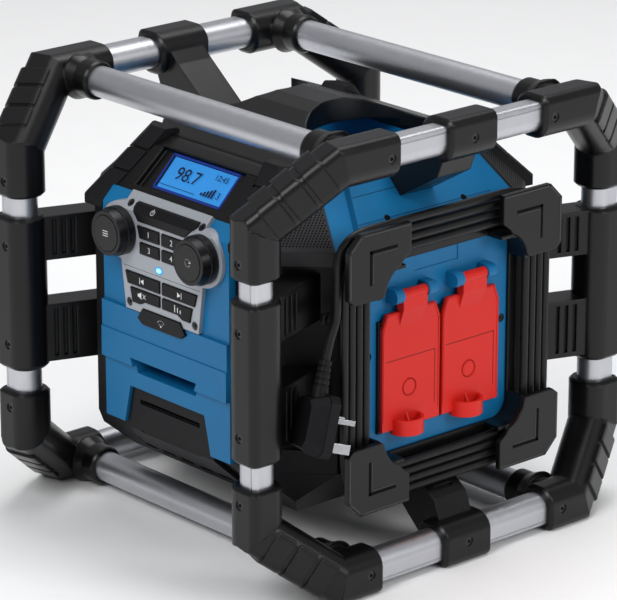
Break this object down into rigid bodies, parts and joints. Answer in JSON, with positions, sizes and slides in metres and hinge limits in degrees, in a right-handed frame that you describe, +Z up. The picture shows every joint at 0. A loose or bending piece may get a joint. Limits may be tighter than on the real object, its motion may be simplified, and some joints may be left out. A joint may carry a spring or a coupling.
{
  "type": "jobsite radio",
  "caption": "Portable jobsite radio in a tubular roll cage, with carry handle, keypad, display, covered mains outlets and a mains cord wound on its side.",
  "frame": {"origin": "on the floor under the middle of the cage", "axes": "+Z up, -Y is the front with the keypad, +X is the side with the mains outlets and the wound cord"},
  "size_m": [0.3908, 0.4126, 0.3787],
  "materials": {
    "blue": "satin moulded",
    "board": "circuit board",
    "bumper": "matt",
    "cord": "smooth",
    "cover": "satin",
    "elbow": "semi-gloss moulded",
    "grille": "perforated",
    "housing": "fine textured",
    "key": "smooth",
    "knob": "fluted",
    "lcd": "backlit",
    "pin": "nickel plated",
    "screw": "zinc",
    "silver": "painted satin",
    "speaker": "paper cone and steel basket",
    "supply": "laminated core",
    "tube": "satin anodised",
    "window": "clear"
  },
  "bodies": {
    "radio": {"back_panel": "blue", "bar_clamps": "elbow", "base_housing": "housing", "bass_cover": "housing", "battery_panel": "blue", "carry_handle": "elbow", "control_board": "board", "cord_holder": "elbow", "cord_tail": "cord", "cord_winding": "cord", "corner_bumpers": "bumper", "corner_grilles": "grille", "corner_speakers": "speaker", "corner_tubes": "tube", "cross_tubes": "tube", "display_bezel": "elbow", "display_module": "lcd", "display_window": "window", "elbow_bottom_back_left": "elbow", "elbow_bottom_back_right": "elbow", "elbow_bottom_front_left": "elbow", "elbow_bottom_front_right": "elbow", "elbow_top_back_left": "elbow", "elbow_top_back_right": "elbow", "elbow_top_front_left": "elbow", "elbow_top_front_right": "elbow", "frame_screws": "screw", "front_panel": "blue", "keypad_plate": "silver", "main_housing": "housing", "media_sockets": "housing", "outlet_panel": "blue", "panel_screws": "screw", "plug": "housing", "plug_pins": "pin", "post_sleeves": "elbow", "power_supply": "supply", "side_tubes": "tube", "socket_modules": "elbow", "top_housing": "blue", "woofer": "speaker"},
    "volume_knob": {"volume_knob": "knob"},
    "tuning_knob": {"tuning_knob": "knob"},
    "menu_button": {"menu_button": "knob"},
    "source_button": {"source_button": "knob"},
    "socket_cover_a": {"socket_cover_a": "cover"},
    "socket_cover_b": {"socket_cover_b": "cover"},
    "battery_pack": {"battery_pack": "housing"},
    "battery_latch": {"battery_latch": "knob"},
    "media_door": {"media_door": "housing"},
    "power_key": {"power_key": "key"},
    "preset_key_1": {"preset_key_1": "key"},
    "preset_key_2": {"preset_key_2": "key"},
    "preset_key_3": {"preset_key_3": "key"},
    "preset_key_4": {"preset_key_4": "key"},
    "previous_key": {"previous_key": "key"},
    "next_key": {"next_key": "key"},
    "mute_key": {"mute_key": "key"},
    "tone_key": {"tone_key": "key"},
    "pairing_key": {"pairing_key": "key"}
  },
  "joints": [
    {"name": "volume_turn", "type": "hinge", "parent": "radio", "child": "volume_knob", "pos_m": [-0.052, -0.165, 0.26035], "axis": [0, -1, 0], "continuous": true},
    {"name": "tuning_turn", "type": "hinge", "parent": "radio", "child": "tuning_knob", "pos_m": [0.052, -0.165, 0.26035], "axis": [0, -1, 0], "continuous": true},
    {"name": "menu_press", "type": "slide", "parent": "volume_knob", "child": "menu_button", "axis": [0, 1, 0], "range_m": [0, 0.001], "stiffness_N_per_m": 800, "springref_m": -0.0006},
    {"name": "source_press", "type": "slide", "parent": "tuning_knob", "child": "source_button", "axis": [0, 1, 0], "range_m": [0, 0.001], "stiffness_N_per_m": 800, "springref_m": -0.0006},
    {"name": "power_key_press", "type": "slide", "parent": "radio", "child": "power_key", "axis": [0, 1, 0], "range_m": [0, 0.001], "stiffness_N_per_m": 800, "springref_m": -0.0006},
    {"name": "preset_key_1_press", "type": "slide", "parent": "radio", "child": "preset_key_1", "axis": [0, 1, 0], "range_m": [0, 0.001], "stiffness_N_per_m": 800, "springref_m": -0.0006},
    {"name": "preset_key_2_press", "type": "slide", "parent": "radio", "child": "preset_key_2", "axis": [0, 1, 0], "range_m": [0, 0.001], "stiffness_N_per_m": 800, "springref_m": -0.0006},
    {"name": "preset_key_3_press", "type": "slide", "parent": "radio", "child": "preset_key_3", "axis": [0, 1, 0], "range_m": [0, 0.001], "stiffness_N_per_m": 800, "springref_m": -0.0006},
    {"name": "preset_key_4_press", "type": "slide", "parent": "radio", "child": "preset_key_4", "axis": [0, 1, 0], "range_m": [0, 0.001], "stiffness_N_per_m": 800, "springref_m": -0.0006},
    {"name": "previous_key_press", "type": "slide", "parent": "radio", "child": "previous_key", "axis": [0, 1, 0], "range_m": [0, 0.001], "stiffness_N_per_m": 800, "springref_m": -0.0006},
    {"name": "next_key_press", "type": "slide", "parent": "radio", "child": "next_key", "axis": [0, 1, 0], "range_m": [0, 0.001], "stiffness_N_per_m": 800, "springref_m": -0.0006},
    {"name": "mute_key_press", "type": "slide", "parent": "radio", "child": "mute_key", "axis": [0, 1, 0], "range_m": [0, 0.001], "stiffness_N_per_m": 800, "springref_m": -0.0006},
    {"name": "tone_key_press", "type": "slide", "parent": "radio", "child": "tone_key", "axis": [0, 1, 0], "range_m": [0, 0.001], "stiffness_N_per_m": 800, "springref_m": -0.0006},
    {"name": "pairing_key_press", "type": "slide", "parent": "radio", "child": "pairing_key", "axis": [0, 1, 0], "range_m": [0, 0.001], "stiffness_N_per_m": 800, "springref_m": -0.0006},
    {"name": "socket_cover_a_swing", "type": "hinge", "parent": "radio", "child": "socket_cover_a", "pos_m": [0.16, -0.033, 0.23135], "axis": [0, -1, 0], "range_deg": [0, 110]},
    {"name": "socket_cover_b_swing", "type": "hinge", "parent": "radio", "child": "socket_cover_b", "pos_m": [0.16, 0.033, 0.23135], "axis": [0, -1, 0], "range_deg": [0, 110]},
    {"name": "pack_slide", "type": "slide", "parent": "radio", "child": "battery_pack", "axis": [-1, 0, 0], "range_m": [0, 0.066]},
    {"name": "latch_press", "type": "slide", "parent": "battery_pack", "child": "battery_latch", "axis": [1, 0, 0], "range_m": [0, 0.002], "stiffness_N_per_m": 800, "springref_m": -0.0006},
    {"name": "media_door_swing", "type": "hinge", "parent": "radio", "child": "media_door", "pos_m": [0, 0.159, 0.16135], "axis": [-1, 0, 0], "range_deg": [0, 95]}
  ]
}
